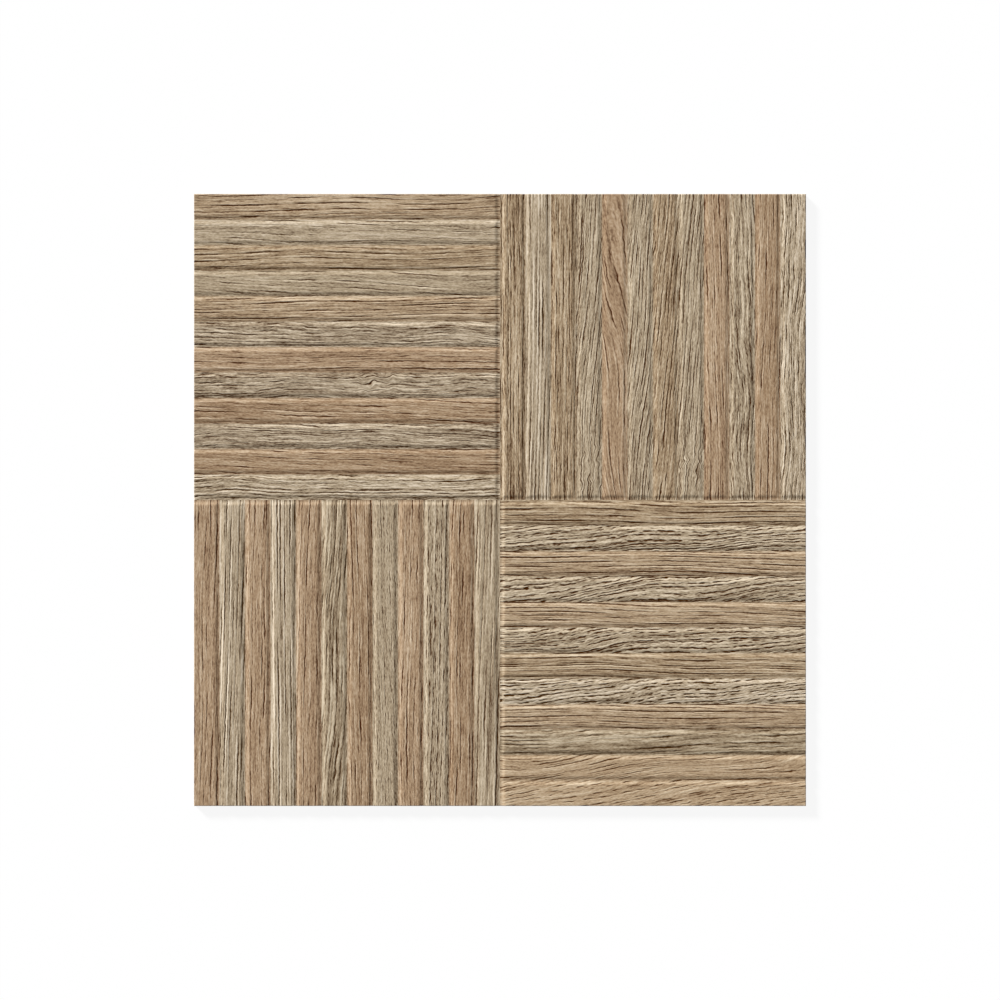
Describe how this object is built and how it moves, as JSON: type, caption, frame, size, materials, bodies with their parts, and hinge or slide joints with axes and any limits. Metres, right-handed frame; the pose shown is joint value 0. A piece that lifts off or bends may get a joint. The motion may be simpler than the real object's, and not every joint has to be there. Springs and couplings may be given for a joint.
{
  "type": "floor tile",
  "caption": "Square porcelain floor tile with a wood-look finger parquet face of eased strips in four blocks, and a keyed back.",
  "frame": {"origin": "centre of the back, on the plane of the ribs that lie on the bed", "axes": "+Z out of the face; +X and +Y along the tile's edges, with the upper left block's strips along X"},
  "size_m": [0.6, 0.6, 0.009],
  "materials": {
    "printed_porcelain": "matt glaze printed with brown and grey oak strips on the face, bare buff body on the edges and back"
  },
  "bodies": {
    "root": {"floor_tile": "printed_porcelain"}
  },
  "joints": []
}
